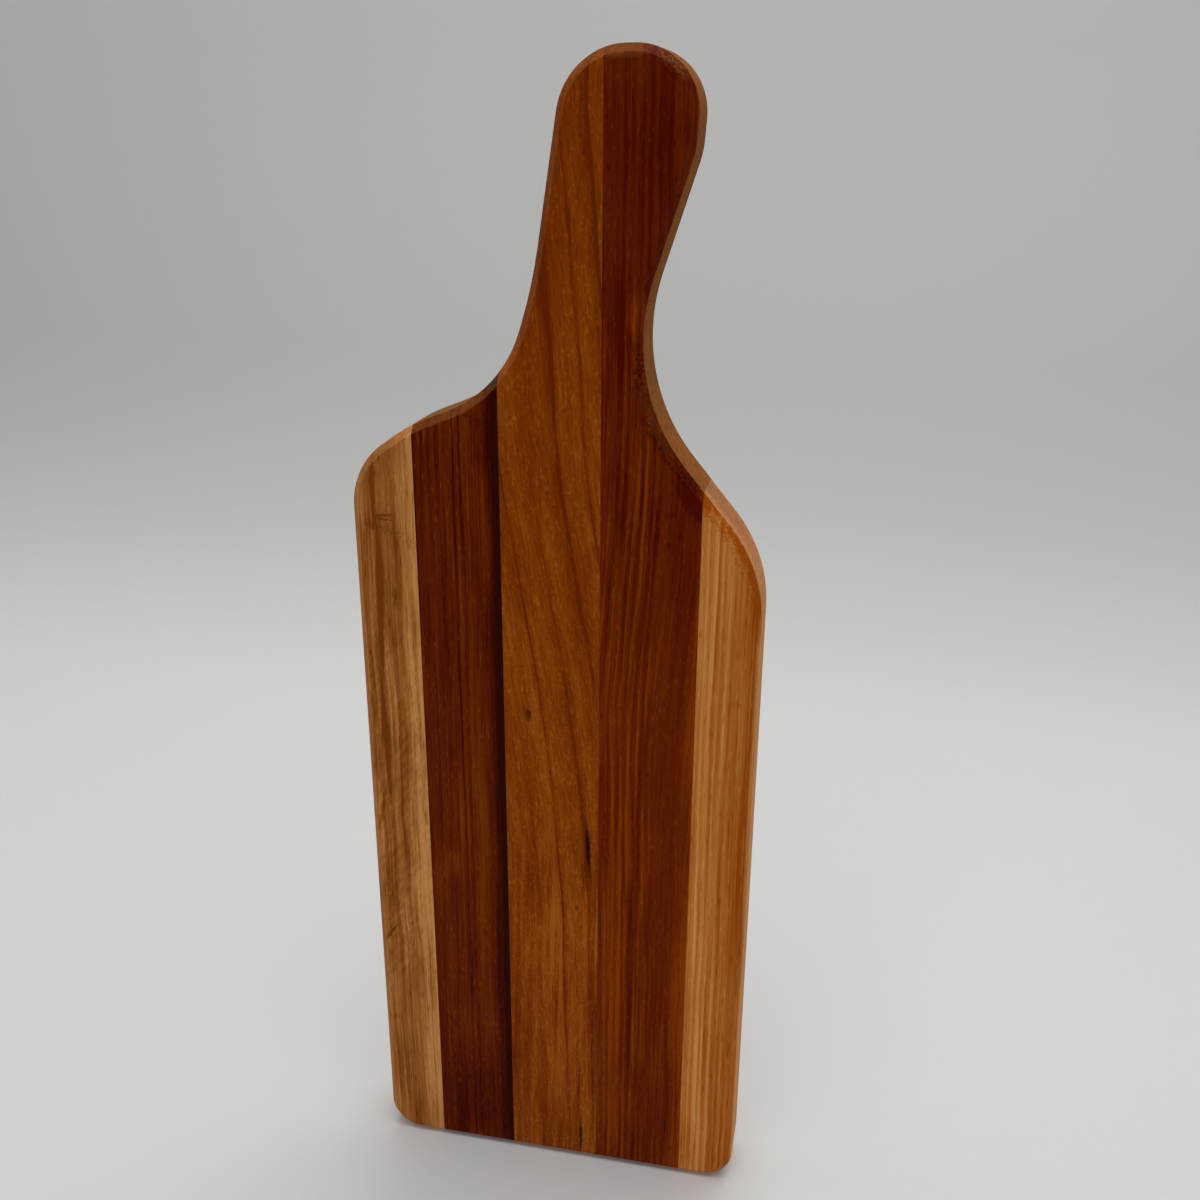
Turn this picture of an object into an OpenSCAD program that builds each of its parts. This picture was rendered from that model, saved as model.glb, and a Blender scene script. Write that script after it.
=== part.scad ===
// Paddle-shaped serving board, glued up from five strips of hardwood.
// The board stands on its bottom end: X is its width, Y its thickness and Z its length.
// The serving face looks to -Y, and the origin is the middle of the bottom end.

/* [Strips] */
// Width of the strip on the left edge
left_outer_w = 22.6; // [14:0.1:36]
// Width of the second strip from the left
left_inner_w = 29.5; // [20:0.1:44]
// Width of the middle strip
centre_w = 33.8; // [24:0.1:48]
// Width of the fourth strip from the left
right_inner_w = 33; // [24:0.1:48]
// Width of the strip on the right edge
right_outer_w = 20.5; // [14:0.1:36]
// Thickness of the glue line between two strips
glue_t = 0.12; // [0.05:0.01:0.3]

/* [Board] */
// Length from the bottom end to the tip of the handle
board_l = 409.5; // [390:1:520]
// Thickness of the planed board
board_t = 22.5; // [14:0.5:32]
// Width of the chamfer that runs round both faces
chamfer_w = 2.5; // [1:0.25:4]
// Radius of the two bottom corners
corner_r = 12; // [6:0.5:30]

/* [Left shoulder] */
// How far below the tip of the handle the left side and the shoulder would meet in a sharp corner
left_shoulder_down = 129.5; // [120:0.5:160]
// Radius that rounds that corner
left_shoulder_r = 27; // [12:0.5:30]
// How far in from the side the shoulder turns to its flatter stretch
slope_in = 21; // [14:0.5:26]
// How far that turn lies above the sharp corner
slope_up = 15; // [8:0.5:20]
// Radius of that turn
slope_r = 65; // [16:0.5:70]

/* [Right shoulder] */
// How far below the tip of the handle the right side and the shoulder would meet in a sharp corner
right_shoulder_down = 155.5; // [140:0.5:180]
// Radius that rounds that corner
right_shoulder_r = 51.5; // [20:0.5:60]

/* [Handle] */
// Width of the handle's end between its two sharp corners
handle_w = 40.9; // [36:0.1:48]
// Wood left between the handle's right corner and the joint of the strip on the right edge
handle_in = 4.1; // [1:0.1:12]
// Radius that rounds the left corner of the handle's end
handle_left_r = 21.6; // [10:0.1:22]
// Radius that rounds the right corner of the handle's end
handle_right_r = 18.6; // [10:0.1:19]
// How far below the tip the slight bend in the handle's left side lies
left_bend_down = 68.8; // [58:0.1:74]
// How far left of the handle's left corner that bend lies
left_bend_out = 10.7; // [4:0.1:14]
// Radius of the bend, which is hollow
left_bend_r = 150; // [60:1:155]
// How far below the tip of the handle its left side and the left shoulder would meet in a sharp corner
left_neck_down = 101.5; // [94:0.5:110]
// How far left of the handle's left corner that corner lies
left_neck_out = 21.3; // [16:0.1:26]
// Radius of the hollow in that corner
left_neck_r = 42; // [20:0.5:44]
// How far below the tip the handle's right side turns inwards
right_bend_down = 29; // [26:0.5:40]
// How far left of the handle's right corner that turn lies
right_bend_in = 1.8; // [0.5:0.1:4]
// Radius of the turn
right_bend_r = 30; // [10:1:50]
// How far below the tip of the handle its right side and the right shoulder would meet in a sharp corner
right_neck_down = 97.3; // [84:0.1:110]
// How far left of the handle's right corner that corner lies
right_neck_in = 23.8; // [16:0.1:26]
// Radius of the hollow in that corner
right_neck_r = 62; // [30:0.5:70]

/* [Hidden] */
$fn = 180;

// Strips and glue lines lie side by side, so together they make the width.
widths = [
    left_outer_w, glue_t, left_inner_w, glue_t, centre_w, glue_t, right_inner_w, glue_t, right_outer_w
];
board_w = widths * [for (w = widths) 1];
side_x = board_w / 2;

// How far the sawn blank stands outside the finished outline
waste_w = 20;
// How far out the shaping cuts reach, to clear the blank's own corners
reach = 3 * waste_w;
// How far the cuts run past the two faces
clear = 1;
// Shortest straight that is left between two rounds
least_run = 2.5;
// Rounds are cut this much larger than the straights beside them ask, so that their faces truly cross
proud = 0.01;
// How far a straight cut runs on past the start of a bulging round
run_on = 2;

// Corners of the outline, clockwise from the bottom left: across, up, and the radius that rounds them
handle_right = side_x - right_outer_w - glue_t - handle_in;
handle_left = handle_right - handle_w;
left_shoulder_z = board_l - left_shoulder_down;
corners = [
    [-side_x, 0, corner_r],
    [-side_x, left_shoulder_z, left_shoulder_r],
    [slope_in - side_x, left_shoulder_z + slope_up, slope_r],
    [handle_left - left_neck_out, board_l - left_neck_down, left_neck_r],
    [handle_left - left_bend_out, board_l - left_bend_down, left_bend_r],
    [handle_left, board_l, handle_left_r],
    [handle_right, board_l, handle_right_r],
    [handle_right - right_bend_in, board_l - right_bend_down, right_bend_r],
    [handle_right - right_neck_in, board_l - right_neck_down, right_neck_r],
    [side_x, board_l - right_shoulder_down, right_shoulder_r],
    [side_x, 0, corner_r]
];
count = len(corners);

function along(a) = [cos(a), sin(a)];
function outward(a) = [-sin(a), cos(a)];

function corner(i) = corners[(i + count) % count];
function at(i) = [corner(i).x, corner(i).y];
function heading(i) = let (d = at(i + 1) - at(i)) atan2(d.y, d.x);
function edge_l(i) = norm(at(i + 1) - at(i));

// Turn at a corner, between -180 and 180 degrees: positive where the outline is hollow
function turn(i) = let (t = heading(i) - heading(i - 1)) t > 180 ? t - 360 : t < -180 ? t + 360 : t;
function hollow(i) = turn(i) > 0;

// Length of edge that a corner's round takes, which gives way where two rounds would meet
function wanted(i) = corner(i).z * tan(abs(turn(i)) / 2);
function share_of_edge(i) = (edge_l(i) - least_run) / (wanted(i) + wanted(i + 1));
function taken(i) = wanted(i) * min(1, share_of_edge(i - 1), share_of_edge(i));
function run(i) = edge_l(i) - taken(i) - taken(i + 1);

// Radius and centre of a corner's round
function round_r(i) = taken(i) / tan(abs(turn(i)) / 2);
function centre(i) =
    at(i) - taken(i) * along(heading(i - 1)) + sign(turn(i)) * round_r(i) * outward(heading(i - 1));

// Angle by which a hollow runs past its ends, until it has left the straights beside it
function lap(r) = 2 * acos(r / (r + proud));

// Corner of the sawn blank that goes with corner i: where both edges, moved out by the waste, would meet
function blank_corner(i) =
    let (a = outward(heading(i - 1)), b = outward(heading(i)))
    at(i) + waste_w * (a + b) / (1 + a * b);

// Section of the waste beyond an edge, shaped so that what stays has both arrises chamfered off
module waste_section(edge, far) {
    out = sign(far - edge);
    polygon([
        [far, -clear],
        [edge - out * (chamfer_w + clear), -clear],
        [edge, chamfer_w],
        [edge, board_t - chamfer_w],
        [edge - out * (chamfer_w + clear), board_t + clear],
        [far, board_t + clear]
    ]);
}

// Cut along the straight that follows corner i
module straight_cut(i) {
    back = hollow(i) ? 0 : run_on;
    ahead = hollow(i + 1) ? 0 : run_on;
    translate(at(i))
        rotate(heading(i))
            translate([taken(i) - back, 0, 0])
                rotate([90, 0, 90])
                    linear_extrude(back + run(i) + ahead)
                        waste_section(0, reach);
}

// Cut round corner i, outside a bulging round or inside a hollow one
module round_cut(i) {
    r = round_r(i) + proud;
    over = hollow(i) ? lap(round_r(i)) : 0;
    first = hollow(i) ? heading(i - 1) - 90 : heading(i) + 90;
    translate(centre(i))
        rotate(first - over)
            rotate_extrude(angle = abs(turn(i)) + 2 * over)
                waste_section(r, hollow(i) ? 0 : r + reach);
}

// The whole board, lying on its back with its outline in the plane: a sawn blank, shaped all round
module board() {
    difference() {
        linear_extrude(board_t)
            polygon([for (i = [0 : count - 1]) blank_corner(i)]);
        for (i = [0 : count - 1]) {
            straight_cut(i);
            round_cut(i);
        }
    }
}

// The layer of the standing board that lies across one strip or glue line
module layer(i) {
    from = -side_x + (i > 0 ? [for (k = [0 : i - 1]) widths[k]] * [for (k = [0 : i - 1]) 1] : 0);
    intersection() {
        translate([0, board_t / 2, 0])
            rotate([90, 0, 0])
                board();
        translate([from, -board_t, -clear])
            cube([widths[i], 2 * board_t, board_l + 2 * clear]);
    }
}

// Pale strip with a dark wavering streak
module left_outer_strip() {
    color("#b08a5c")
        layer(0);
}

// Deep red-brown strip
module left_inner_strip() {
    color("#6b3a2c")
        layer(2);
}

// Orange-brown strip that runs on into the handle
module centre_strip() {
    color("#a4643a")
        layer(4);
}

// Brown strip that makes the right half of the handle
module right_inner_strip() {
    color("#7c4a35")
        layer(6);
}

// Straight-grained tan strip on the right edge
module right_outer_strip() {
    color("#a8794e")
        layer(8);
}

module left_outer_glue() {
    color("#cbb083")
        layer(1);
}

module left_inner_glue() {
    color("#cbb083")
        layer(3);
}

module right_inner_glue() {
    color("#cbb083")
        layer(5);
}

module right_outer_glue() {
    color("#cbb083")
        layer(7);
}

left_outer_strip();
left_inner_strip();
centre_strip();
right_inner_strip();
right_outer_strip();
left_outer_glue();
left_inner_glue();
right_inner_glue();
right_outer_glue();
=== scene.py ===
"""Looks of a paddle-shaped serving board, glued up from five strips of oiled hardwood."""

import math

import bmesh
import bpy
import numpy as np
from mathutils import Matrix, Vector


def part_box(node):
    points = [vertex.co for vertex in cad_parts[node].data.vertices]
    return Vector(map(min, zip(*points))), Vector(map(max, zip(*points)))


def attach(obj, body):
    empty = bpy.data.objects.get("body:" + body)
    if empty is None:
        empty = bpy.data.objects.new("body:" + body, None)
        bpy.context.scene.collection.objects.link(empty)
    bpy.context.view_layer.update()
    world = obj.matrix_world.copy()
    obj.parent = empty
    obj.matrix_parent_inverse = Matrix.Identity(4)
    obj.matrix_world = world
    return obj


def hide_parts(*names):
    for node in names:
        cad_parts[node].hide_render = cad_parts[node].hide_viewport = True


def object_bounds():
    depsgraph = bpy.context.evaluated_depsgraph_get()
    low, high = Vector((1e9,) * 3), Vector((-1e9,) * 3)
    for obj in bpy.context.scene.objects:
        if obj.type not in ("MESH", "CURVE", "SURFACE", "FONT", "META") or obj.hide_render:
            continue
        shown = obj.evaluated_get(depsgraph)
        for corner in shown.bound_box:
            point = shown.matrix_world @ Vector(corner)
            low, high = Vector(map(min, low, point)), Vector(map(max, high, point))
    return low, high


bl_info = {
    "name": "Serving board",
    "version": (1, 0, 0),
    "blender": (4, 5, 0),
    "location": "3D View > Sidebar > Board",
    "description": "Five glued strips of oiled hardwood with a chamfered, softened edge",
    "category": "Object",
}

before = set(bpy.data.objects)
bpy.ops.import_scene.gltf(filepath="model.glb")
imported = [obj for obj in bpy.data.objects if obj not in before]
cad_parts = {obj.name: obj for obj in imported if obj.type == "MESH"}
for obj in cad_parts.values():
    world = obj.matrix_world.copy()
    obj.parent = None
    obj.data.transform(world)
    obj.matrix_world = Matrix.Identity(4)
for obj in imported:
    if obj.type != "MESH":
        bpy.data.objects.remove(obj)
CAD_BOX = [list(side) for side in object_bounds()]
MM = 0.001
FRONT_MM = CAD_BOX[0][1] / MM
MIDDLE_MM = CAD_BOX[1][2] / MM / 2

# Vertices nearer than this, in metres, are one.
WELD = 1e-7
# A strip's side this near to the board's own isn't sawn, in metres.
SIDE_SLACK = 2e-5
# Vertices this near to a cut, in metres, lie on it.
CUT_SLACK = 1e-8
# How far in from the outline each flat face begins, in widths of the chamfer
RIM = 2.2
# The tone that grain draws to where it is quiet or faded
EVEN_TONE = 0.45
# How dark the wood is at a ring's start and end, and at these shares of its width
RING_ENDS = (0.35, 0.5)
RING_STOPS = ((0.14, 0.0), (0.7, 0.05), (0.88, 0.2), (0.95, 0.9))
# How much of a side's own colour is hidden by the pale edge colour, which stands for sanding that took off the oil and
# for painted sheen
SANDED_AND_SHEEN_VEIL = 0.72
# How ragged the rim of a mark is, in millimetres
RAG = 1.2

# The strips and glue lines from left to right, with the record's slot that each one's finish has.
LAYERS = {
    "left_outer_strip": "left_outer_wood",
    "left_outer_glue": "wood_glue",
    "left_inner_strip": "left_inner_wood",
    "left_inner_glue": "wood_glue",
    "centre_strip": "centre_wood",
    "right_inner_glue": "wood_glue",
    "right_inner_strip": "right_inner_wood",
    "right_outer_glue": "wood_glue",
    "right_outer_strip": "right_outer_wood",
}


def length(name, description, millimetres):
    """A length property, given in millimetres and kept in metres."""
    return bpy.props.FloatProperty(
        name=name, description=description, default=millimetres * MM, unit="LENGTH", precision=5
    )


def colour(name, description, code):
    """A colour property, given as an sRGB hex code and kept as linear light."""
    return bpy.props.FloatVectorProperty(
        name=name, description=description, default=linear(code), subtype="COLOR", size=4, min=0, max=1
    )


def linear(code):
    """The linear RGBA value of an sRGB hex code: the low values are divided, the others follow a power."""
    part = np.array([int(code[k : k + 2], 16) / 255 for k in (1, 3, 5)])
    low = part / 12.92
    high = ((part + 0.055) / 1.055) ** 2.4
    return (*np.where(part <= 0.04045, low, high), 1.0)


class BoardSizes(bpy.types.PropertyGroup):
    """Sizes of the board's edge and outline"""

    chamfer: length("Chamfer", "Width of the chamfer round both faces", 2.5)
    arris: length("Arris", "Radius to which sanding softens each edge of the chamfer", 0.7)
    corner_r: length("Bottom corner", "Radius of the two bottom corners", 12)
    left_shoulder_down: length("Left shoulder", "From the tip down to the left shoulder's sharp corner", 129.5)
    left_shoulder_r: length("Left shoulder radius", "Radius that rounds the left shoulder", 27)
    slope_in: length("Slope in", "How far in from the side the left shoulder flattens", 21)
    slope_up: length("Slope up", "How far above the sharp corner the left shoulder flattens", 15)
    slope_r: length("Slope radius", "Radius of that turn", 65)
    right_shoulder_down: length("Right shoulder", "From the tip down to the right sharp corner", 155.5)
    right_shoulder_r: length("Right shoulder radius", "Radius that rounds the right shoulder", 51.5)
    handle_w: length("Handle width", "Width of the handle's end between its sharp corners", 40.9)
    handle_in: length("Handle in", "From the handle's right corner to the joint at its right", 4.1)
    handle_left_r: length("Handle left radius", "Radius of the left corner of the handle's end", 21.6)
    handle_right_r: length("Handle right radius", "Radius of the right corner of the handle's end", 18.6)
    left_bend_down: length("Left bend", "From the tip down to the bend in the handle's left side", 68.8)
    left_bend_out: length("Left bend out", "How far left of the handle's corner the bend lies", 10.7)
    left_bend_r: length("Left bend radius", "Radius of the bend", 150)
    left_neck_down: length("Left neck", "From the tip down to the hollow corner on the left", 101.5)
    left_neck_out: length("Left neck out", "How far left of the handle's corner it lies", 21.3)
    left_neck_r: length("Left neck radius", "Radius of that hollow", 42)
    right_bend_down: length("Right bend", "From the tip down to the turn in the handle's right side", 29)
    right_bend_in: length("Right bend in", "How far left of the handle's corner the turn lies", 1.8)
    right_bend_r: length("Right bend radius", "Radius of the turn", 30)
    right_neck_down: length("Right neck", "From the tip down to the hollow corner on the right", 97.3)
    right_neck_in: length("Right neck in", "How far left of the handle's corner it lies", 23.8)
    right_neck_r: length("Right neck radius", "Radius of that hollow", 62)
    least_run: length("Least run", "Shortest straight between two rounds of the outline", 2.5)


class BoardColours(bpy.types.PropertyGroup):
    """Colours of the woods, the glue and the studio"""

    # Each sanded colour below is a strip's pale edge: the wood that sanding left dry, with the painted sheen of the
    # chamfers and sides mixed in.
    left_outer_dark: colour("Left outer dark", "Streaks of the left outer strip", "#80410f")
    left_outer_body: colour("Left outer body", "Main tone of the left outer strip", "#ac6a2f")
    left_outer_light: colour("Left outer light", "Palest grain of the left outer strip", "#da9657")
    left_outer_sanded_and_sheen: colour("Left outer sanded", "Edge of that strip, where little oil stayed", "#c0915e")
    left_inner_dark: colour("Left inner dark", "Streaks of the left inner strip", "#440b03")
    left_inner_body: colour("Left inner body", "Main tone of the left inner strip", "#682203")
    left_inner_light: colour("Left inner light", "Palest grain of the left inner strip", "#803a08")
    left_inner_sanded_and_sheen: colour("Left inner sanded", "Edge of that strip, where little oil stayed", "#946c38")
    centre_dark: colour("Centre dark", "Ring lines of the centre strip", "#6f2905")
    centre_body: colour("Centre body", "Main tone of the centre strip", "#8c4005")
    centre_light: colour("Centre light", "Palest grain of the centre strip", "#ad5e1a")
    centre_sanded_and_sheen: colour("Centre sanded", "Edge of that strip, where little oil stayed", "#a0703e")
    right_inner_dark: colour("Right inner dark", "Streaks of the right inner strip", "#530f03")
    right_inner_body: colour("Right inner body", "Main tone of the right inner strip", "#712704")
    right_inner_light: colour("Right inner light", "Palest grain of the right inner strip", "#8f4004")
    right_inner_sanded_and_sheen: colour("Right inner sanded", "Edge of that strip, where little oil stayed", "#a66f37")
    right_outer_dark: colour("Right outer dark", "Streaks of the right outer strip", "#a24c08")
    right_outer_body: colour("Right outer body", "Main tone of the right outer strip", "#c37631")
    right_outer_light: colour("Right outer light", "Palest grain of the right outer strip", "#e39d5a")
    right_outer_sanded_and_sheen: colour("Right outer sanded", "Edge of that strip, where little oil stayed", "#e2a977")
    # The gum colour also darkens the right outer strip's upturned side at the shoulder: partly oil-soaked end grain,
    # partly painted shade.
    gum_and_shade: colour("Gum", "Gum streaks and pin knots", "#300b03")
    glue: colour("Glue", "Dried wood glue", "#4a1f0c")
    floor: colour("Floor", "Pale floor", "#dfdfdd")
    # The wall and upper wall tones are painted shade and light on the sweep: darker going back, lighter higher up.
    wall: colour("Wall", "Backdrop behind the board", "#bcbcba")
    wall_top: colour("Wall top", "Backdrop above the board", "#cbcbc9")


# Shape


def along(heading):
    """Unit vectors (across, up) that point along headings given in radians."""
    return np.stack([np.cos(heading), np.sin(heading)], axis=-1)


def outward(heading):
    """Unit vectors a quarter turn left of headings: out of the board, because the outline runs clockwise."""
    return np.stack([-np.sin(heading), np.cos(heading)], axis=-1)


def outline(sizes, half_width, top, step=math.radians(2.5), fewest=4):
    """Points and outward directions round the board, clockwise from the bottom left.

    The outline is a polygon whose corners are rounded: a point of a round is its centre less the turn's sign times
    the radius times the outward direction, for headings that go evenly through the turn.
    """
    s = sizes
    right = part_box("right_outer_glue")[0].x - s.handle_in
    left = right - s.handle_w
    corners = np.array([
        [-half_width, 0, s.corner_r],
        [-half_width, top - s.left_shoulder_down, s.left_shoulder_r],
        [s.slope_in - half_width, top - s.left_shoulder_down + s.slope_up, s.slope_r],
        [left - s.left_neck_out, top - s.left_neck_down, s.left_neck_r],
        [left - s.left_bend_out, top - s.left_bend_down, s.left_bend_r],
        [left, top, s.handle_left_r],
        [right, top, s.handle_right_r],
        [right - s.right_bend_in, top - s.right_bend_down, s.right_bend_r],
        [right - s.right_neck_in, top - s.right_neck_down, s.right_neck_r],
        [half_width, top - s.right_shoulder_down, s.right_shoulder_r],
        [half_width, 0, s.corner_r],
    ])
    at, radius = corners[:, :2], corners[:, 2]
    edge = np.roll(at, -1, axis=0) - at
    heading = np.arctan2(edge[:, 1], edge[:, 0])
    before = np.roll(heading, 1)
    turn = (heading - before + math.pi) % math.tau - math.pi

    # Where two rounds would meet on an edge, both give way.
    wanted = radius * np.tan(abs(turn) / 2)
    share = (np.hypot(*edge.T) - s.least_run) / (wanted + np.roll(wanted, -1))
    taken = wanted * np.minimum(1, np.minimum(np.roll(share, 1), share))
    radius = taken / np.tan(abs(turn) / 2)
    side = np.sign(turn) * radius
    centre = at - taken[:, None] * along(before) + side[:, None] * outward(before)

    points, facing = [], []
    for i in range(len(corners)):
        count = max(fewest, math.ceil(abs(turn[i]) / step))
        headings = before[i] + turn[i] * np.linspace(0, 1, count + 1)
        points.append(centre[i] - side[i] * outward(headings))
        facing.append(outward(headings))
    return np.concatenate(points), np.concatenate(facing)


def edge_section(sizes, thickness, steps=4, support=0.0004):
    """Depth in from the outline and height off the front face, round the edge from the front to the back.

    Two chamfers, with each arris an arc that is tangent to both sides: corner less the tangent length along
    the side before, plus the radius times the turned normals. A support point on each side keeps the flats flat.
    """
    c, a = sizes.chamfer, sizes.arris
    corners = np.array([[c, 0], [0, c], [0, thickness - c], [c, thickness]])
    headings = np.radians([180, 135, 90, 45, 0])
    reach = a * math.tan(math.radians(45) / 2)
    rows = [np.array([[RIM * c, 0]])]
    for k, corner in enumerate(corners):
        swept = np.linspace(headings[k], headings[k + 1], steps + 1)
        centre = corner - reach * along(headings[k]) - a * outward(headings[k])
        arc = centre + a * outward(swept)
        rows += [[arc[0] - support * along(headings[k])], arc, [arc[-1] + support * along(headings[k + 1])]]
    rows.append(np.array([[RIM * c, thickness]]))
    return np.concatenate(rows)


def shell(sizes):
    """Corner places and faces of the whole board's skin.

    The edge is the section carried round the outline: place = point less depth times the outward direction,
    at the section's height. Each face of the board is one flat face inside it.
    """
    low, high = (np.array(side) for side in CAD_BOX)
    half_width = (high[0] - low[0]) / 2
    points, facing = outline(sizes, half_width, high[2])
    section = edge_section(sizes, high[1] - low[1])
    flat = points[:, None, :] - section[None, :, :1] * facing[:, None, :]
    height = np.broadcast_to(low[1] + section[None, :, 1], flat.shape[:2])
    places = np.stack([flat[..., 0], height, flat[..., 1]], axis=-1)

    around, across = places.shape[:2]
    i, j = np.meshgrid(np.arange(around), np.arange(across - 1), indexing="ij")
    after = (i + 1) % around
    quads = np.stack([i * across + j, after * across + j, after * across + j + 1, i * across + j + 1], axis=-1)
    front = np.arange(around) * across
    back = front + across - 1
    return places.reshape(-1, 3), [*quads.reshape(-1, 4).tolist(), front[::-1].tolist(), back.tolist()]


def sawn_piece(name, places, faces):
    """The part of the skin that lies across one strip or glue line, closed where it was cut."""
    mesh = bpy.data.meshes.new(name)
    mesh.from_pydata(places, [], faces)
    bm = bmesh.new()
    bm.from_mesh(mesh)
    bmesh.ops.remove_doubles(bm, verts=bm.verts, dist=WELD)
    low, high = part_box(name)
    for x, side in ((low.x, -1), (high.x, 1)):
        if abs(x) > CAD_BOX[1][0] - SIDE_SLACK:
            continue
        whole = [*bm.verts, *bm.edges, *bm.faces]
        cut = bmesh.ops.bisect_plane(
            bm, geom=whole, dist=CUT_SLACK, plane_co=(x, 0, 0), plane_no=(side, 0, 0), clear_outer=True
        )
        rim = [part for part in cut["geom_cut"] if isinstance(part, bmesh.types.BMEdge)]
        for edge in rim:
            edge.smooth = False
        bmesh.ops.edgeloop_fill(bm, edges=rim)
    bmesh.ops.recalc_face_normals(bm, faces=bm.faces)
    if any(not edge.is_manifold for edge in bm.edges):
        raise RuntimeError(f"{name} is not closed")
    bm.to_mesh(mesh)
    bm.free()
    mesh.shade_smooth()
    made = bpy.data.objects.new(f"{name}_look", mesh)
    bpy.context.scene.collection.objects.link(made)
    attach(made, "root")
    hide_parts(name)
    return made


# Materials

# Sockets go by number where a node has two of one name: in a Mix node the values are 2 and 3 and the colours 6 and 7,
# and the mixed colour comes out at 2.


def add(tree, kind, inputs=(), out=0, **settings):
    """One output of a new node with these settings, whose inputs are linked to sockets or set to values."""
    node = tree.nodes.new(kind)
    for key, value in settings.items():
        setattr(node, key, value)
    for key, value in dict(inputs).items():
        if isinstance(value, bpy.types.NodeSocket):
            tree.links.new(value, node.inputs[key])
        else:
            node.inputs[key].default_value = value
    return node.outputs[out]


def millimetres(tree):
    """Places on the board in millimetres: across, depth and height."""
    place = add(tree, "ShaderNodeTexCoord", out="Object")
    return add(tree, "ShaderNodeVectorMath", {0: place, "Scale": 1 / MM}, operation="SCALE")


def grain_space(tree, mm, wood):
    """Places with the grain made upright.

    Across, plus lean times the height above the board's middle, plus slips that run in smoothly between two
    heights, plus slow wanders to either side, which are a quarter wider than high.
    """
    wide = add(tree, "ShaderNodeSeparateXYZ", {0: mm})
    deep, high = wide.node.outputs["Y"], wide.node.outputs["Z"]
    centring = -MIDDLE_MM * wood["lean"] - sum(amount for amount, period in wood["wander"]) / 2
    across = add(tree, "ShaderNodeMath", {0: high, 1: wood["lean"], 2: centring}, operation="MULTIPLY_ADD")
    across = add(tree, "ShaderNodeMath", {0: wide, 1: across}, operation="ADD")
    for amount, low, top in wood["slips"]:
        slip = add(
            tree,
            "ShaderNodeMapRange",
            {"Value": high, "From Min": low, "From Max": top, "To Max": amount},
            interpolation_type="SMOOTHSTEP",
        )
        across = add(tree, "ShaderNodeMath", {0: across, 1: slip}, operation="ADD")
    sideways = 0.8
    for amount, period in wood["wander"]:
        rate = (sideways / period, sideways / period, 1 / period)
        slow = add(tree, "ShaderNodeMapping", {"Vector": mm, "Scale": rate})
        sway = add(tree, "ShaderNodeTexNoise", {"Vector": slow, "Scale": 1.0, "Detail": 1.0}, out="Fac")
        across = add(tree, "ShaderNodeMath", {0: sway, 1: amount, 2: across}, operation="MULTIPLY_ADD")
    return add(tree, "ShaderNodeCombineXYZ", {"X": across, "Y": deep, "Z": high})


def streaks(tree, grain, width, run, detail=2.0, seed=0.0):
    """Noise drawn out along the grain: features this wide and this long, in millimetres."""
    drawn = add(
        tree,
        "ShaderNodeMapping",
        {"Vector": grain, "Location": (seed, seed, seed), "Scale": (1 / width, 1 / width, 1 / run)},
    )
    return add(tree, "ShaderNodeTexNoise", {"Vector": drawn, "Scale": 1.0, "Detail": detail}, out="Fac")


def dashes(tree, grain, width, run, share, seed):
    """Short strokes along the grain: 1 where a plain noise is over a value that falls as their share grows."""
    noise = streaks(tree, grain, width, run, detail=0.0, seed=seed)
    return add(tree, "ShaderNodeMapRange", {"Value": noise, "From Min": 0.95 - share, "From Max": 1.1 - share})


def ring_lines(tree, grain, pith, spacing, uneven):
    """How dark the late wood is: 0 in early wood, rising to 1 at each ring's end.

    Rings are told by the distance from the pith line over the spacing, made uneven by a noise of that distance.
    The share of a ring that is passed is its fraction, and each ring has a strength of its own.
    """
    centred = add(tree, "ShaderNodeVectorMath", {0: grain, 1: (-pith[0], -pith[1], 0)}, operation="ADD")
    flat = add(tree, "ShaderNodeVectorMath", {0: centred, 1: (1, 1, 0)}, operation="MULTIPLY")
    distance = add(tree, "ShaderNodeVectorMath", {0: flat}, out="Value", operation="LENGTH")
    years = add(tree, "ShaderNodeMath", {0: distance, 1: 1 / spacing}, operation="MULTIPLY")
    drift = add(tree, "ShaderNodeTexNoise", {"W": years, "Scale": 0.45}, out="Fac", noise_dimensions="1D")
    years = add(tree, "ShaderNodeMath", {0: drift, 1: uneven, 2: years}, operation="MULTIPLY_ADD")
    passed = add(tree, "ShaderNodeMath", {0: years}, operation="FRACT")
    year = add(tree, "ShaderNodeMath", {0: years}, operation="FLOOR")
    strength = add(tree, "ShaderNodeTexWhiteNoise", {"W": year}, out="Value", noise_dimensions="1D")
    strength = add(tree, "ShaderNodeMapRange", {"Value": strength, "To Min": 0.25})
    late = add(tree, "ShaderNodeValToRGB", {0: passed})
    ramp = late.node.color_ramp
    ramp.interpolation = "EASE"
    for end, value in zip(ramp.elements, RING_ENDS):
        end.color = (value, value, value, 1)
    for position, value in RING_STOPS:
        ramp.elements.new(position).color = (value, value, value, 1)
    return add(tree, "ShaderNodeMath", {0: late, 1: strength}, operation="MULTIPLY")


def bands(tree, grain, stops):
    """Tone across the strip, read off a ramp through these places in millimetres and tones."""
    low, high = stops[0][0], stops[-1][0]
    across = add(tree, "ShaderNodeSeparateXYZ", {0: grain})
    share = add(tree, "ShaderNodeMapRange", {"Value": across, "From Min": low, "From Max": high})
    tone = add(tree, "ShaderNodeValToRGB", {0: share})
    ramp = tone.node.color_ramp
    ramp.interpolation = "EASE"
    for k, (place, value) in enumerate(stops):
        position = (place - low) / (high - low)
        stop = ramp.elements[0] if k == 0 else ramp.elements.new(position)
        stop.position, stop.color = position, (value, value, value, 1)
    ramp.elements.remove(ramp.elements[-1])
    return tone


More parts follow.
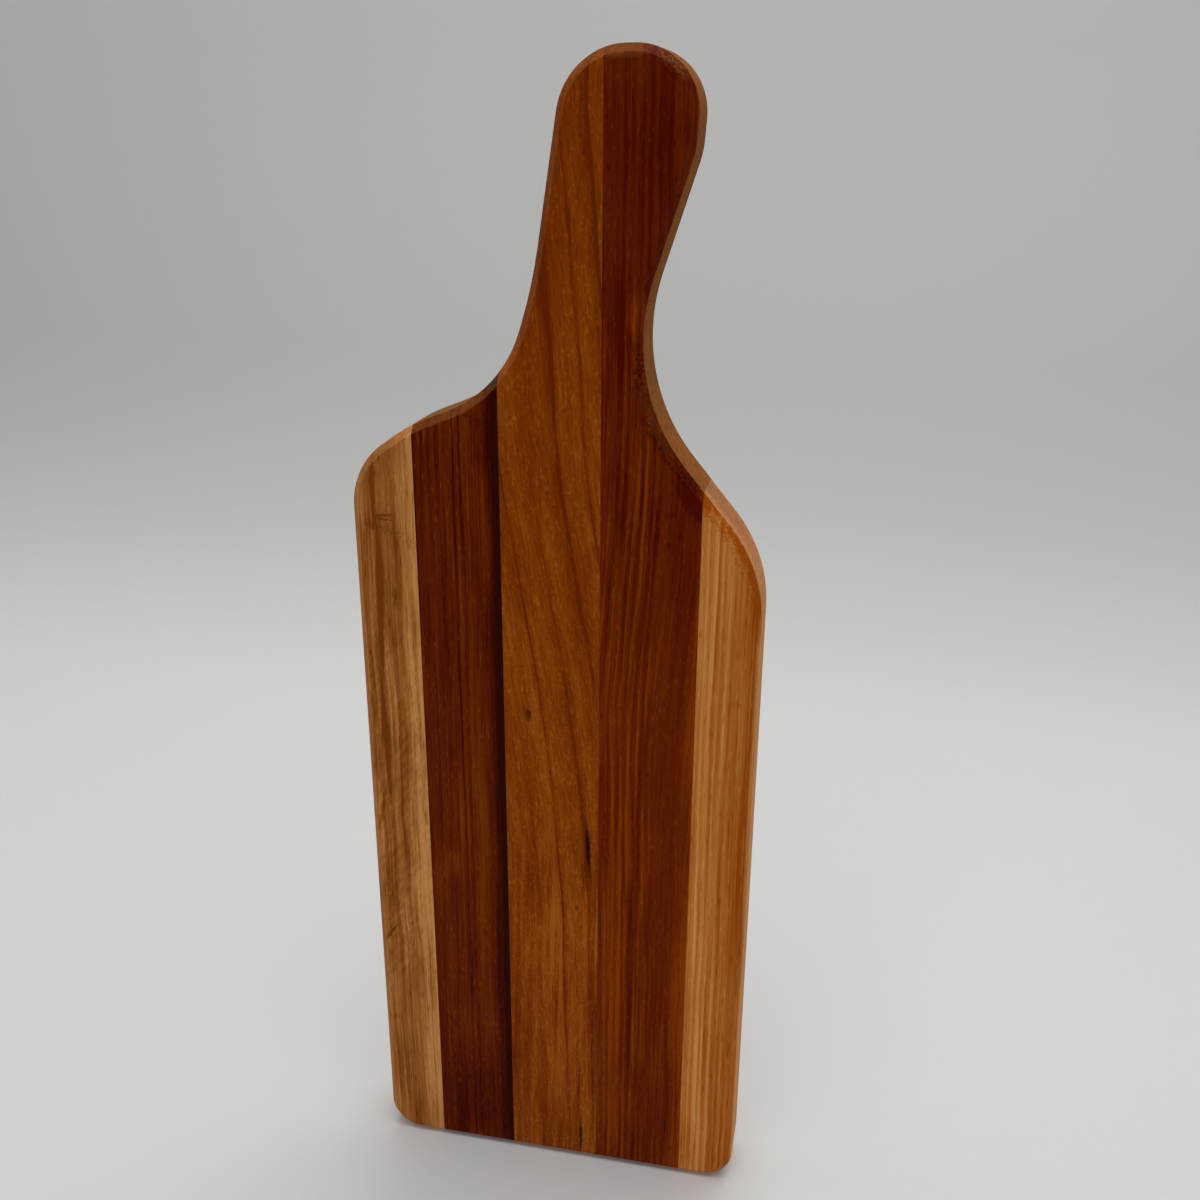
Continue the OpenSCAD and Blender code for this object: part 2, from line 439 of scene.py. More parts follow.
def ragged_space(tree, mm):
    """Places shaken by a small noise, so that what is drawn in them has a ragged rim."""
    shake = add(tree, "ShaderNodeTexNoise", {"Vector": mm, "Scale": 0.8, "Detail": 2.0}, out="Color")
    centred = add(tree, "ShaderNodeVectorMath", {0: shake, 1: (0.5, 0.5, 0.5)}, operation="SUBTRACT")
    return add(tree, "ShaderNodeVectorMath", {0: centred, 1: (RAG, RAG, RAG), 2: mm}, operation="MULTIPLY_ADD")


def mark(tree, ragged, place, size, tilt):
    """1 within 0.4 of an ellipsoid's half size, falling evenly to 0 at its surface.

    Its middle is told across and up, and how deep where it isn't on the serving face. It leans right by its tilt,
    in degrees.
    """
    across, up, *deep = place
    inside = add(
        tree,
        "ShaderNodeMapping",
        {
            "Vector": ragged,
            "Location": (across, FRONT_MM + sum(deep), up),
            "Rotation": (0, math.radians(tilt), 0),
            "Scale": size,
        },
        vector_type="TEXTURE",
    )
    away = add(tree, "ShaderNodeVectorMath", {0: inside}, out="Value", operation="LENGTH")
    return add(tree, "ShaderNodeMapRange", {"Value": away, "From Min": 1.0, "From Max": 0.4})


def add_marks(tree, ragged, value, marks):
    """A value with each mark's strength added where the mark lies."""
    for place, size, tilt, depth in marks:
        spot = mark(tree, ragged, place, size, tilt)
        value = add(tree, "ShaderNodeMath", {0: spot, 1: depth, 2: value}, operation="MULTIPLY_ADD")
    return value


def add_figure(tree, mm, tone, width, run, tilt, depth, middle, reach):
    """Tone with a slanting shimmer added: noise drawn out along the tilt, whole within 0.7 of the reach."""
    slanted = add(
        tree,
        "ShaderNodeMapping",
        {"Vector": mm, "Rotation": (0, math.radians(tilt), 0), "Scale": (width, width, run)},
        vector_type="TEXTURE",
    )
    shimmer = add(tree, "ShaderNodeTexNoise", {"Vector": slanted, "Scale": 1.0, "Detail": 2.0}, out="Fac")
    centred = add(tree, "ShaderNodeMath", {0: shimmer, 1: -0.5}, operation="ADD")
    high = add(tree, "ShaderNodeSeparateXYZ", {0: mm}, out="Z")
    away = add(tree, "ShaderNodeMath", {0: high, 1: middle}, operation="SUBTRACT")
    away = add(tree, "ShaderNodeMath", {0: away}, operation="ABSOLUTE")
    there = add(
        tree,
        "ShaderNodeMapRange",
        {"Value": away, "From Min": reach, "From Max": 0.7 * reach, "To Max": depth},
        interpolation_type="SMOOTHSTEP",
    )
    return add(tree, "ShaderNodeMath", {0: centred, 1: there, 2: tone}, operation="MULTIPLY_ADD")


def grain_tone(tree, mm, ragged, grain, wood):
    """Tone of the wood without its pores: 0 is the darkest grain, 1 the palest.

    The bands, drawn to the even tone in patches, less the ring lines, which fade in the same patches, plus the
    streaks and the figure, each a noise about 0. Where the grain is calm, that is drawn to the even tone, and then
    the shades are added.
    """
    tone = bands(tree, grain, wood["bands"])
    rings = ring_lines(tree, grain, wood["pith"], wood["spacing"], wood["uneven"])
    patchy = streaks(tree, grain, width=12, run=70, seed=5.7)
    fading = add(
        tree, "ShaderNodeMapRange", {"Value": patchy, "From Min": 0.55, "From Max": 0.35, "To Max": wood["fading"]}
    )
    tone = add(tree, "ShaderNodeMix", {0: fading, 2: tone, 3: EVEN_TONE}, data_type="FLOAT")
    patchy = add(tree, "ShaderNodeMapRange", {"Value": patchy, "From Min": 0.35, "From Max": 0.6, "To Min": 0.15})
    rings = add(tree, "ShaderNodeMath", {0: rings, 1: patchy}, operation="MULTIPLY")
    tone = add(tree, "ShaderNodeMath", {0: rings, 1: -wood["ring_depth"], 2: tone}, operation="MULTIPLY_ADD")
    for k, (width, run, depth, detail) in enumerate(wood["streaks"]):
        noise = streaks(tree, grain, width, run, detail, seed=17.3 * (k + 1))
        centred = add(tree, "ShaderNodeMath", {0: noise, 1: -0.5}, operation="ADD")
        tone = add(tree, "ShaderNodeMath", {0: centred, 1: depth, 2: tone}, operation="MULTIPLY_ADD")
    for width, run, tilt, depth, (middle, reach) in wood["figure"]:
        tone = add_figure(tree, mm, tone, width, run, tilt, depth, middle, reach)
    for place, size, tilt, depth in wood["calm"]:
        spot = mark(tree, ragged, place, size, tilt)
        quiet = add(tree, "ShaderNodeMath", {0: spot, 1: depth}, operation="MULTIPLY")
        tone = add(tree, "ShaderNodeMix", {0: quiet, 2: tone, 3: EVEN_TONE}, data_type="FLOAT")
    return add_marks(tree, ragged, tone, wood["shades"])


def blemished(tree, mm, ragged, shade, wood, dark, sanded_and_sheen, gum_and_shade):
    """Colour with gum streaks, pin knots, gum-coloured painted shade and torn grain laid over it.

    Torn grain is specks that soaked up oil and went dark, or that stand up dry where the mark's depth is below 0.
    """
    for place, size, tilt, depth in wood["gum_and_shade"]:
        spot = mark(tree, ragged, place, size, tilt)
        weight = add(tree, "ShaderNodeMath", {0: spot, 1: depth}, operation="MULTIPLY")
        shade = add(tree, "ShaderNodeMix", {0: weight, 6: shade, 7: gum_and_shade}, out=2, data_type="RGBA")

    speckle = add(tree, "ShaderNodeTexNoise", {"Vector": mm, "Scale": 1.2, "Detail": 1.0}, out="Fac")
    speckle = add(tree, "ShaderNodeMapRange", {"Value": speckle, "From Min": 0.44, "From Max": 0.6})
    soaked = tuple(wood["soaked"] * part for part in dark[:3]) + (1,)
    for place, size, tilt, depth in wood["torn"]:
        spot = mark(tree, ragged, place, size, tilt)
        specks = add(tree, "ShaderNodeMath", {0: spot, 1: speckle}, operation="MULTIPLY")
        weight = add(tree, "ShaderNodeMath", {0: specks, 1: abs(depth)}, operation="MULTIPLY")
        tint = soaked if depth > 0 else sanded_and_sheen
        shade = add(tree, "ShaderNodeMix", {0: weight, 6: shade, 7: tint}, out=2, data_type="RGBA")
    return shade


def pale_edge_and_sheen(tree, ragged, wood):
    """How pale the edge is drawn, for oil that sanding took off and for painted sheen: a ramp of how far the surface
    turns from the two faces, plus the marks of wear and painted highlight.

    The ramp is read at 1 on a face, at 0.71 on a chamfer and at 0 on a side, and gives 0, the wood's own edge value
    and 1.
    """
    facing = add(tree, "ShaderNodeTexCoord", out="Normal")
    side = add(tree, "ShaderNodeSeparateXYZ", {0: facing}, out="Y")
    turned = add(tree, "ShaderNodeMath", {0: side}, operation="ABSOLUTE")
    edge = add(tree, "ShaderNodeValToRGB", {0: turned})
    ramp = edge.node.color_ramp
    ramp.elements[0].position, ramp.elements[0].color = 0.25, (1, 1, 1, 1)
    ramp.elements[1].position, ramp.elements[1].color = 0.97, (0, 0, 0, 1)
    for position in (0.55, 0.85):
        ramp.elements.new(position).color = (wood["edge"], wood["edge"], wood["edge"], 1)
    return add_marks(tree, ragged, edge, wood["worn_and_sheen"])


def oiled_wood(wood, dark, body, light, sanded_and_sheen, gum_and_shade):
    """Hardwood that was planed, sanded and oiled.

    The eye gets a warm, deep tone with little haze, soft growth rings, short pores that run with the grain, and a
    broad, weak gloss. Round the edge the sander leaves it rougher and paler, with less oil in it, and that paler
    colour also paints in the sheen that the chamfers and sides catch.
    """
    material = bpy.data.materials.new(wood["finish"])
    material.use_nodes = True
    tree = material.node_tree
    shader = tree.nodes["Principled BSDF"]
    mm = millimetres(tree)
    ragged = ragged_space(tree, mm)
    grain = grain_space(tree, mm, wood)
    tone = grain_tone(tree, mm, ragged, grain, wood)

    # Open pores, a third as wide in the real wood and drawn coarse enough to show, and fibres that catch the light
    *pore_form, pore_depth = wood["pores"]
    pores = dashes(tree, grain, *pore_form, seed=3.1)
    tone = add(tree, "ShaderNodeMath", {0: pores, 1: -pore_depth, 2: tone}, operation="MULTIPLY_ADD")
    *fleck_form, fleck_depth = wood["flecks"]
    flecks = dashes(tree, grain, *fleck_form, seed=41.7)
    tone = add(tree, "ShaderNodeMath", {0: flecks, 1: fleck_depth, 2: tone}, operation="MULTIPLY_ADD")

    shade = add(tree, "ShaderNodeValToRGB", {0: tone})
    ramp = shade.node.color_ramp
    ramp.elements[0].color, ramp.elements[1].color = dark, light
    ramp.elements.new(0.5).color = body
    shade = blemished(tree, mm, ragged, shade, wood, dark, sanded_and_sheen, gum_and_shade)

    # Where the edge is dry, scuffed by the sander, the wood's own colour is veiled by a paler one, which is also
    # painted sheen on the chamfers and sides.
    edge = pale_edge_and_sheen(tree, ragged, wood)
    scuffs = add(tree, "ShaderNodeTexNoise", {"Vector": mm, "Scale": 0.6, "Detail": 3.0}, out="Fac")
    scuffs = add(tree, "ShaderNodeMapRange", {"Value": scuffs, "From Min": 0.3, "From Max": 0.7, "To Min": 0.5})
    dry_and_sheen = add(tree, "ShaderNodeMath", {0: edge, 1: scuffs}, operation="MULTIPLY")
    veiled_with_sheen = add(tree, "ShaderNodeMix", {0: SANDED_AND_SHEEN_VEIL, 6: shade, 7: sanded_and_sheen}, out=2, data_type="RGBA")
    shade = add(tree, "ShaderNodeMix", {0: dry_and_sheen, 6: shade, 7: veiled_with_sheen}, out=2, data_type="RGBA")
    tree.links.new(shade, shader.inputs["Base Color"])

    rough = add(tree, "ShaderNodeMapRange", {"Value": edge, "To Min": wood["roughness"], "To Max": 0.9})
    rough = add(tree, "ShaderNodeMath", {0: pores, 1: 0.15, 2: rough}, operation="MULTIPLY_ADD")
    tree.links.new(rough, shader.inputs["Roughness"])

    # Raised grain left by the oil
    height = add(tree, "ShaderNodeMath", {0: pores, 1: -1.0, 2: tone}, operation="MULTIPLY_ADD")
    raised = add(tree, "ShaderNodeBump", {"Height": height, "Strength": 0.3, "Distance": 0.0001})
    tree.links.new(raised, shader.inputs["Normal"])

    # Light comes back out of the fibres, so even the gloss is tinted.
    shader.inputs["IOR"].default_value = 1.47
    shader.inputs["Specular IOR Level"].default_value = 0.07
    shader.inputs["Specular Tint"].default_value = body
    return material


def dried_glue(tint):
    """Wood glue that was squeezed out and planed off: a hair line of clear amber, dark against the wood."""
    material = bpy.data.materials.new("Dried wood glue")
    material.use_nodes = True
    tree = material.node_tree
    shader = tree.nodes["Principled BSDF"]
    clouds = add(tree, "ShaderNodeTexNoise", {"Vector": millimetres(tree), "Scale": 0.1}, out="Fac")
    paler = 1.6
    thinner = tuple(paler * part for part in tint[:3]) + (1,)
    shade = add(tree, "ShaderNodeMix", {0: clouds, 6: tuple(tint), 7: thinner}, out=2, data_type="RGBA")
    tree.links.new(shade, shader.inputs["Base Color"])
    shader.inputs["Roughness"].default_value = 0.5
    shader.inputs["Specular IOR Level"].default_value = 0.22
    return material


# What each strip's wood is and how its grain runs. Lengths are in millimetres, angles in degrees, and tones go from 0,
# dark, to 1, pale. A wood that leaves out an entry has the plain one.
#   finish: name of the material
#   lean: how far the grain leans left for each millimetre up
#   slips: how far it moves left, and between which heights
#   wander: how far it sways, and the period
#   pith: middle of the rings, across and deep
#   spacing, uneven, ring_depth: width of the rings, how it varies, and how much darker the rings' ends are
#   bands: places across, and the tone at each
#   fading: how far the bands draw to an even tone in patches
#   streaks: width, length, depth and detail of each layer of streaks
#   figure: width, length, tilt and depth of each layer of shimmer, then its middle height and its reach
#   pores, flecks: width, length, share and depth of the open pores, and of the fibres that catch the light
#   calm, shades, torn, the worn and sheen marks, and the gum and shade marks: marks, each with its middle, half size
#   across, in depth and up, tilt and strength; they quieten the grain, shift its tone, tear it, take oil off the edge
#   and paint a highlight on it (or take both back, below 0), and darken it, with gum and with painted shade
#   soaked: the colour of torn grain that soaked up oil, as a share of the dark one
#   edge: how pale the chamfer is, for oil that sanding took off and for painted sheen, most on the left strips
#   roughness: of the oiled faces
PLAIN = {
    "lean": 0.0,
    "slips": [],
    "fading": 0.0,
    "figure": [],
    "calm": [],
    "torn": [],
    "soaked": 0.0,
    "worn_and_sheen": [],
    "gum_and_shade": [],
    "roughness": 0.5,
}
WOODS = {
    "left_outer_strip": {
        "finish": "Oiled acacia sapwood",
        "wander": [(3.0, 70), (1.4, 22)],
        "pith": (-150, 40),
        "spacing": 2.4,
        "uneven": 1.6,
        "ring_depth": 0.3,
        "bands": [
            (-71, 0.5), (-67, 0.52), (-64.5, 0.4), (-62, 0.32), (-60.5, 0.38), (-58, 0.5), (-56, 0.4), (-53.5, 0.58),
            (-51.5, 0.75), (-48.5, 0.84), (-46, 0.8),
        ],
        "streaks": [(0.8, 45, 1.1, 2), (2.6, 60, 1.1, 2), (12, 30, 0.7, 2)],
        "figure": [(1.6, 6, 38, 0.55, (150, 90)), (6, 20, 35, 0.4, (150, 90))],
        "pores": (0.8, 6, 0.3, 0.3),
        "flecks": (0.8, 3, 0.3, 0.15),
        "shades": [
            ((-62, 274), (1.1, 6, 14), 1, -0.55), ((-61.5, 232), (1.3, 6, 30), 1, -0.95),
            ((-62.4, 180), (1.1, 6, 28), -1, -0.8), ((-61.8, 120), (1.2, 6, 36), 1, -0.1),
            ((-62, 217), (0.9, 4, 6), 2, -0.5), ((-61.3, 238), (0.7, 4, 5), -3, -0.5),
            ((-55.8, 235), (0.6, 4, 5), 3, -0.5),
            ((-58.8, 264.2), (4.0, 4, 0.7), -5, -0.6), ((-58.4, 262.8), (3.4, 4, 0.5), 4, -0.45),
            ((-60.5, 263.2), (2.4, 4, 0.9), 14, -0.4), ((-62.5, 261), (3.6, 5, 2.2), 20, -0.2),
            ((-67, 205), (3.2, 8, 60), 0, -0.25), ((-60.5, 281), (5.5, 8, 19), 41, -0.12),
            ((-56.5, 215), (5, 8, 75), 0, -0.14), ((-66, 165), (3, 8, 18), 0, -0.25),
            ((-66.5, 245), (3.5, 8, 30), 0, -0.15), ((-49.5, 262), (4, 6, 22), 0, -0.24),
            ((-65, 96), (0.8, 4, 5), 34, -0.8), ((-65.5, 150), (0.9, 5, 14), 12, -0.3),
            ((-63.5, 184), (0.8, 5, 12), 4, -0.4), ((-48.6, 149), (0.7, 4, 4), 0, -0.5),
        ],
        "calm": [((-60, 281), (10, 8, 19), 30, 0.7)],
        "torn": [
            ((-61, 260.5), (5, 4, 4), 10, 0.6), ((-50.5, 256), (3, 4, 3.6), 0, 0.4),
            ((-55.5, 258.5), (6, 4, 2.4), 8, 0.4), ((-62.5, 200), (2.4, 5, 70), 0, 0.35),
        ],
        "soaked": 0.75,
        "edge": 0.34,
    },
    "left_inner_strip": {
        "finish": "Oiled sapele",
        "wander": [(1.0, 90), (0.5, 18)],
        "pith": (-190, 30),
        "spacing": 1.7,
        "uneven": 1.2,
        "ring_depth": 0.2,
        "bands": [
            (-48, 0.25), (-45.5, 0.42), (-41, 0.42), (-37, 0.55), (-34.4, 0.64), (-33.4, 0.22), (-32.4, 0.62),
            (-31, 0.4), (-29.6, 0.68), (-26, 0.62), (-23.4, 0.45), (-21, 0.2), (-18, 0.0), (-17, 0.0),
        ],
        "fading": 0.2,
        "streaks": [(0.8, 36, 1.1, 2), (1.9, 120, 0.7, 2), (12, 60, 1.0, 2)],
        "pores": (0.75, 5, 0.3, 0.26),
        "flecks": (0.75, 3.0, 0.3, 0.34),
        "shades": [
            # The second mark darkens the bottom of the strip: painted shade where the board stands on the floor.
            ((-39, 130), (4, 6, 9), 10, 0.25), ((-31, 22), (14, 8, 38), 0, -0.3), ((-36.5, 215), (5, 8, 60), 0, -0.2),
            ((-43, 105), (5, 8, 70), 0, 0.2), ((-23, 292), (5, 6, 16), 0, -0.25),
        ],
        "torn": [((-33, 301.6), (2.2, 4, 20), -66, 0.5)],
        "soaked": 0.5,
        "gum_and_shade": [((-17.2, 200), (6.4, 60, 620), 0, 0.85)],
        "edge": 0.4,
    },
    "centre_strip": {
        "finish": "Oiled cherry",
        "lean": 0.03,
        "slips": [(16, 140, 320), (4, 310, 400)],
        "wander": [(4.0, 80), (1.4, 28)],
        "pith": (-70, 60),
        "spacing": 7.4,
        "uneven": 0.9,
        "ring_depth": 1.1,
        "bands": [(-40, 0.52), (-20, 0.52), (0, 0.58), (20, 0.52), (40, 0.58), (80, 0.52)],
        "streaks": [(0.8, 9, 0.8, 2), (4.5, 90, 0.5, 0.5), (14, 50, 0.65, 2)],
        "figure": [(9, 30, 20, 0.4, (90, 130)), (1.7, 55, 1.5, 1.3, (60, 95))],
        "pores": (0.8, 1.6, 0.32, 0.24),
        "flecks": (0.8, 1.8, 0.34, 0.25),
        "shades": [
            ((2, 378), (17, 16, 80), 6, -0.22), ((15, 375), (3, 6, 60), 0, -0.1),
            ((5, 105), (20, 10, 30), 0, 0.28), ((-10, 270), (10, 8, 50), 0, -0.13),
        ],
        # A paler chamfer on top of the handle: partly worn dry, partly a painted highlight where it faces up to the
        # light.
        "worn_and_sheen": [((8.5, 405), (3.5, 4, 9), 50, 0.4)],
        "gum_and_shade": [
            ((12.5, 143.5), (1.2, 4, 14), -3.3, 1.0), ((-9, 195), (1.6, 3, 3.2), 0, 0.75),
            ((8.3, 118), (1.0, 3, 1.6), 0, 0.62), ((10, 10), (0.9, 4, 12), 0, 0.9), ((9.3, 38), (0.5, 4, 16), 1, 0.5),
        ],
        "edge": 0.28,
        "roughness": 0.48,
    },
    "right_inner_strip": {
        "finish": "Oiled jatoba",
        "slips": [(-5, 190, 300)],
        "wander": [(2.2, 60), (1.2, 16)],
        "pith": (-120, 60),
        "spacing": 2.2,
        "uneven": 1.6,
        "ring_depth": 0.2,
        "bands": [
            (8, 0.4), (11, 0.3), (13, 0.45), (16.3, 0.58), (17.6, 0.28), (18.8, 0.68), (20, 0.38), (21.4, 0.76),
            (22.8, 0.26), (24.1, 0.7), (25.4, 0.14), (26.8, 0.66), (28.6, 0.16), (29.8, 0.5), (31, 0.18),
            (33, 0.48), (38, 0.45), (50, 0.45),
        ],
        "fading": 0.55,
        "streaks": [(0.8, 30, 1.2, 2), (1.6, 50, 0.7, 2), (12, 60, 0.8, 2)],
        "pores": (0.8, 3.5, 0.3, 0.24),
        "flecks": (0.8, 2.6, 0.3, 0.22),
        "shades": [
            ((21, 60), (6, 8, 80), 0, 0.25), ((26.5, 333), (3, 6, 9), 0, 0.3), ((28, 365), (16, 12, 62), 0, -0.3),
            ((28.5, 95), (2.4, 8, 85), 1.5, -0.4), ((27.5, 130), (8, 10, 190), 0, 0.25),
            ((37, 404.2), (4, 6, 13), -50, -0.42), ((42, 391), (5, 8, 15), 0, -0.34),
            ((46.5, 276), (4, 8, 12), -38, -0.4), ((39, 290), (3.4, 8, 13), -38, -0.25),
            # The second mark darkens the bottom of the strip: painted shade where the board stands on the floor.
            ((45, 250), (7, 10, 60), 0, -0.28), ((45, 25), (6, 8, 38), 0, -0.22),
            ((20.5, 322), (6, 8, 30), 0, -0.24), ((24.5, 252), (4.5, 8, 48), 0, -0.28),
        ],
        "calm": [((28, 380), (17, 14, 75), 0, 0.5), ((41, 180), (10, 12, 150), 0, 0.5)],
        "torn": [
            ((28.4, 318), (2.4, 8, 12), 0, 1.0), ((31, 304), (3.0, 8, 13), -20, 1.0),
            ((37.2, 292), (3.2, 8, 13), -38, 1.0), ((44.8, 282.5), (3.0, 8, 10), -48, 1.0),
            ((35.5, 352), (1.8, 6, 26), 16, -0.3), ((33, 300), (2.6, 8, 18), -28, -0.12),
            ((36.5, 404.8), (3.2, 6, 10), -52, -0.3), ((20, 407.5), (12, 5, 3.6), 0, 0.35),
        ],
        "soaked": 0.4,
        # Paler chamfers on top of the handle: partly worn dry, partly a painted highlight where they face up to the
        # light.
        "worn_and_sheen": [((20, 408.3), (12, 5, 3.4), 0, 0.6), ((36, 405.6), (3, 6, 10), -55, 0.15)],
        "edge": 0.04,
    },
    "right_outer_strip": {
        "finish": "Oiled white oak",
        "wander": [(1.8, 70), (0.6, 20)],
        "pith": (180, 20),
        "spacing": 3.2,
        "uneven": 1.2,
        "ring_depth": 0.25,
        "bands": [
            (48, 0.5), (50.5, 0.65), (52, 0.8), (53.4, 0.62), (54.6, 0.85), (55.6, 0.42), (56.7, 0.7), (58, 0.48),
            (59.2, 0.65), (60.6, 0.35), (61.8, 0.55), (62.8, 0.3), (64, 0.48), (65.4, 0.2), (67, 0.2), (68.5, 0.2),
            (71, 0.36),
        ],
        "fading": 0.25,
        "streaks": [(0.8, 60, 0.9, 2), (1.8, 120, 0.8, 2), (10, 60, 0.5, 2)],
        "pores": (0.8, 6, 0.32, 0.22),
        "flecks": (0.8, 5, 0.3, 0.15),
        "shades": [
            ((51.5, 275), (3.6, 6, 6), -40, -0.3), ((57.5, 267.8), (2.4, 6, 8), -38, -0.35),
            ((62.6, 260.4), (2.4, 6, 8), -31, -0.4), ((66.4, 252), (2.2, 6, 8), -21, -0.4),
            ((68.6, 243), (2.0, 6, 8), -11, -0.35), ((69.6, 233), (1.6, 6, 7), -4, -0.25),
            # The first mark here darkens the upturned side at the shoulder: partly oil-soaked end grain, partly
            # painted shade.
            ((55, 272, 12), (15, 11, 25), -38, -1.0), ((51, 277.5), (3.5, 5, 5.5), -40, -0.5),
            # The second mark darkens the bottom of the strip: painted shade where the board stands on the floor.
            ((51.5, 140), (4, 8, 150), 0, -0.14), ((52, 14), (5, 8, 17), 0, -0.28),
        ],
        "torn": [
            ((52.5, 273), (4.0, 6, 8), -40, 0.7), ((58.5, 265), (3.6, 6, 8), -38, 0.6),
            ((63.5, 256), (3.4, 6, 9), -28, 0.55), ((67, 246), (2.6, 6, 9), -14, 0.5),
        ],
        "soaked": 0.95,
        # These two darken the upturned side at the shoulder, taking the pale edge colour back and laying gum colour on
        # it: partly oil-soaked end grain, partly painted shade.
        "worn_and_sheen": [((55, 272, 12), (15, 11, 25), -38, -0.38)],
        "gum_and_shade": [((51.5, 276, 12), (12, 11.4, 20), -38, 0.42)],
        "edge": 0.0,
    },
}


# Studio

# Name, place, aim, width, height and watts of each softbox
LIGHTS = [
    ("Top softbox", (0.16, 0.1, 1.5), (0, 0.1, 0.0), 1.6, 1.2, 16.2),
    ("Front fill", (0.0, -1.8, 1.0), (0, 0, 0.2), 1.8, 1.6, 6.8),
    ("Side softbox", (-1.4, 0.1, 0.7), (0, 0, 0.2), 0.9, 0.9, 2.5),
]


def soft_light(name, place, aim, width, height, watts):
    """A rectangular softbox that shines from its place towards its aim."""
    data = bpy.data.lights.new(name, "AREA")
    data.shape = "RECTANGLE"
    data.size, data.size_y, data.energy = width, height, watts
    lamp = bpy.data.objects.new(name, data)
    lamp.location = place
    lamp.rotation_euler = (Vector(aim) - Vector(place)).to_track_quat("-Z", "Y").to_euler()
    bpy.context.scene.collection.objects.link(lamp)
    return lamp


def backdrop(floor, wall, wall_top):
    """Floor and wall in one sweep: a level run, a quarter round and an upright run, carried across."""
    front, depth, radius, rise, side = -2.5, 0.43, 0.5, 2.5, 3.0
    turn = np.linspace(0, math.pi / 2, 25)
    y = np.concatenate([[front, 0.0], depth + radius * np.sin(turn), [depth + radius]])
    z = np.concatenate([[0.0, 0.0], radius - radius * np.cos(turn), [rise]])
    x = np.linspace(-side, side, 3)
    places = np.stack([np.repeat(x, len(y)), np.tile(y, len(x)), np.tile(z, len(x))], axis=-1)
    i, j = np.meshgrid(np.arange(len(x) - 1), np.arange(len(y) - 1), indexing="ij")
    first = i * len(y) + j
    quads = np.stack([first, first + len(y), first + len(y) + 1, first + 1], axis=-1).reshape(-1, 4)
    mesh = bpy.data.meshes.new("Backdrop")
    mesh.from_pydata(places, [], quads.tolist())
    mesh.shade_smooth()
    mesh.materials.append(paper_with_painted_shade(floor, wall, wall_top))
    sweep = bpy.data.objects.new("Backdrop", mesh)
    bpy.context.scene.collection.objects.link(sweep)
    return sweep


def paper_with_painted_shade(floor, wall, wall_top):
    """Matt backdrop paper whose tone is painted shade and light: darker towards the back and lighter again higher up.

    The floor's tone gives way to the wall's with the distance back, and that to the upper wall's with the height.
    """
    material = bpy.data.materials.new("Matt graduated paper")
    material.use_nodes = True
    tree = material.node_tree
    shader = tree.nodes["Principled BSDF"]
    place = add(tree, "ShaderNodeTexCoord", out="Object")
    back = add(tree, "ShaderNodeSeparateXYZ", {0: place}, out="Y")
    up = back.node.outputs["Z"]
    near, far = 0.36, 0.82
    low, high = 0.18, 0.5
    away = add(
        tree, "ShaderNodeMapRange", {"Value": back, "From Min": near, "From Max": far}, interpolation_type="SMOOTHSTEP"
    )
    tone = add(tree, "ShaderNodeMix", {0: away, 6: floor, 7: wall}, out=2, data_type="RGBA")
    climb = add(tree, "ShaderNodeMapRange", {"Value": up, "From Min": low, "From Max": high})
    tone = add(tree, "ShaderNodeMix", {0: climb, 6: tone, 7: wall_top}, out=2, data_type="RGBA")
    tree.links.new(tone, shader.inputs["Base Color"])
    shader.inputs["Roughness"].default_value = 0.9
    return material


def photo_camera():
    """The camera at the photograph's place, turn and focal length, in metres, radians and millimetres."""
    data = bpy.data.cameras.new("Camera")
    data.sensor_width = 36
    data.lens = 37.07
    data.clip_start = 0.01
    camera = bpy.data.objects.new("Camera", data)
    place = (0.094845, -0.38709, 0.385926)
    yaw, pitch, roll = -0.206, -0.363, 0.007
    ahead = Vector((math.sin(yaw) * math.cos(pitch), math.cos(yaw) * math.cos(pitch), math.sin(pitch)))
    right = Vector((math.cos(yaw), -math.sin(yaw), 0))
    up = right.cross(ahead)
    across = math.cos(roll) * right + math.sin(roll) * up
    above = math.cos(roll) * up - math.sin(roll) * right
    turned = Matrix((across, above, -ahead)).transposed().to_4x4()
    camera.matrix_world = Matrix.Translation(place) @ turned
    bpy.context.scene.collection.objects.link(camera)
    return camera


# Steps


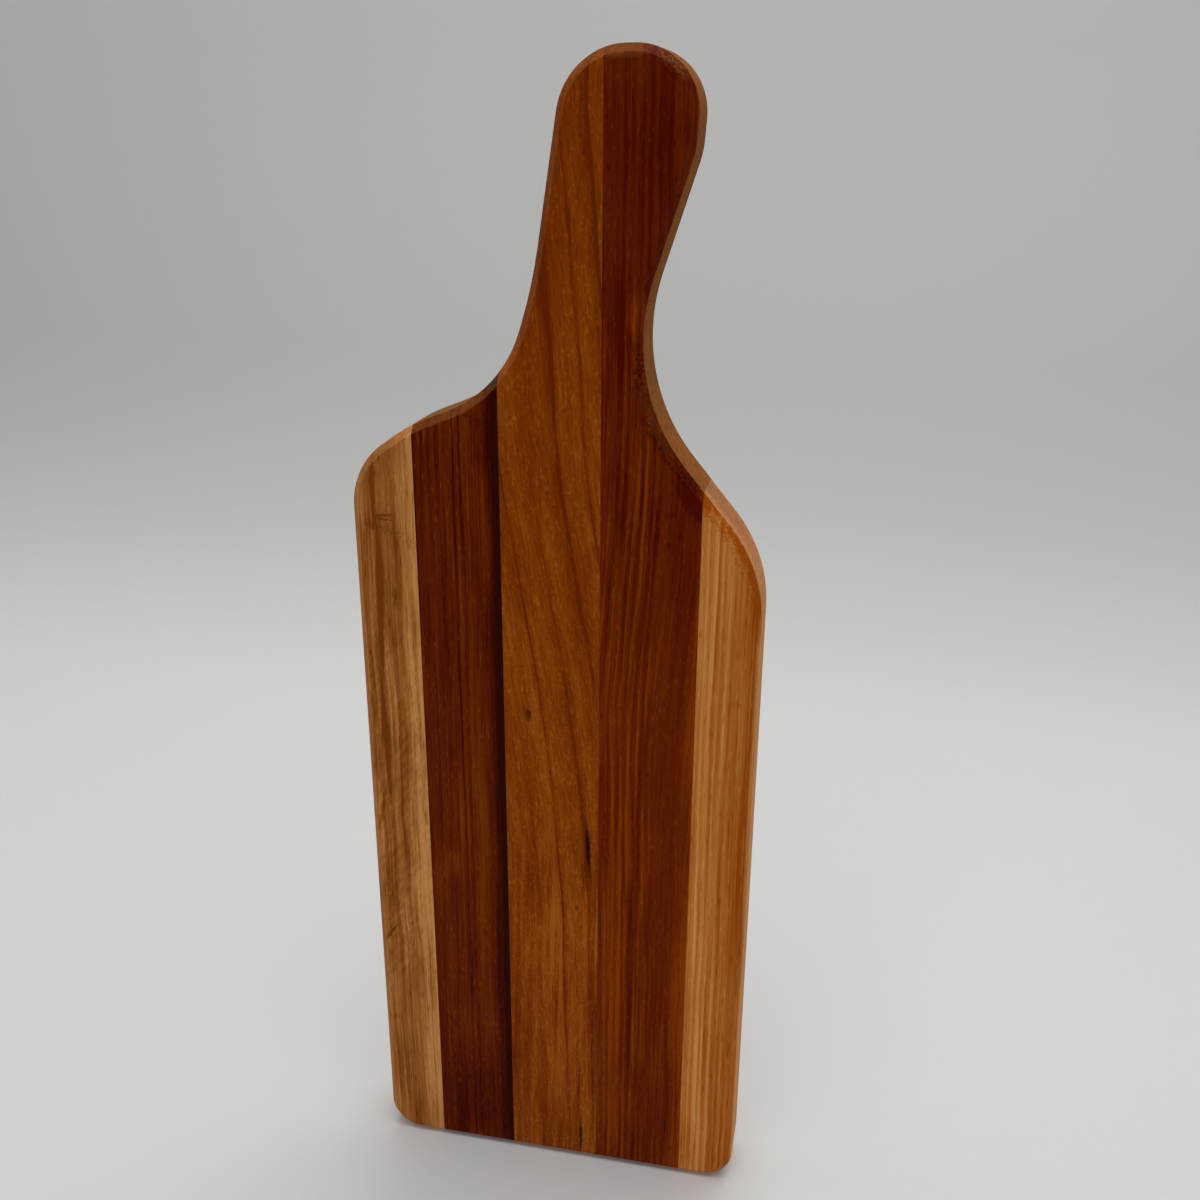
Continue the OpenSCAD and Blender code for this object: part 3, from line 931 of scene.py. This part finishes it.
class BOARD_OT_strips(bpy.types.Operator):
    """Builds the five strips and the four glue lines between them"""

    bl_idname = "board.strips"
    bl_label = "Strips and glue lines"

    def execute(self, context):
        sizes, colours = context.scene.board_sizes, context.scene.board_colours
        places, faces = shell(sizes)
        glue = dried_glue(colours.glue)
        for name in LAYERS:
            made = sawn_piece(name, places, faces)
            if name in WOODS:
                base = name.removesuffix("_strip")
                tones = [getattr(colours, f"{base}_{part}") for part in ("dark", "body", "light", "sanded_and_sheen")]
                made.data.materials.append(oiled_wood(PLAIN | WOODS[name], *tones, colours.gum_and_shade))
            else:
                made.data.materials.append(glue)
        return {"FINISHED"}


class BOARD_OT_studio(bpy.types.Operator):
    """Builds the pale floor and backdrop, the soft lights and the camera"""

    bl_idname = "board.studio"
    bl_label = "Studio"

    def execute(self, context):
        scene = context.scene
        colours = scene.board_colours
        sweep = backdrop(colours.floor, colours.wall, colours.wall_top)
        for spec in LIGHTS:
            soft_light(*spec)
        world = bpy.data.worlds.new("Room light")
        scene.world = world
        world.use_nodes = True
        world.node_tree.nodes["Background"].inputs["Color"].default_value = (0.8, 0.82, 0.85, 1)
        world.node_tree.nodes["Background"].inputs["Strength"].default_value = 0.22
        scene.view_settings.view_transform = "Standard"
        scene.camera = photo_camera()
        return {"FINISHED"}


class BOARD_PT_panel(bpy.types.Panel):
    """Lists the steps that build the board"""

    bl_idname = "BOARD_PT_panel"
    bl_label = "Serving board"
    bl_space_type = "VIEW_3D"
    bl_region_type = "UI"
    bl_category = "Board"

    def draw(self, context):
        for step in (BOARD_OT_strips, BOARD_OT_studio):
            self.layout.operator(step.bl_idname)


CLASSES = (BoardSizes, BoardColours, BOARD_OT_strips, BOARD_OT_studio, BOARD_PT_panel)


def register():
    for each in CLASSES:
        bpy.utils.register_class(each)
    bpy.types.Scene.board_sizes = bpy.props.PointerProperty(type=BoardSizes)
    bpy.types.Scene.board_colours = bpy.props.PointerProperty(type=BoardColours)


def unregister():
    del bpy.types.Scene.board_colours
    del bpy.types.Scene.board_sizes
    for each in reversed(CLASSES):
        bpy.utils.unregister_class(each)


def main():
    """Builds the board and the studio."""
    register()
    bpy.ops.board.strips()
    bpy.ops.board.studio()


if __name__ == "__main__":
    main()
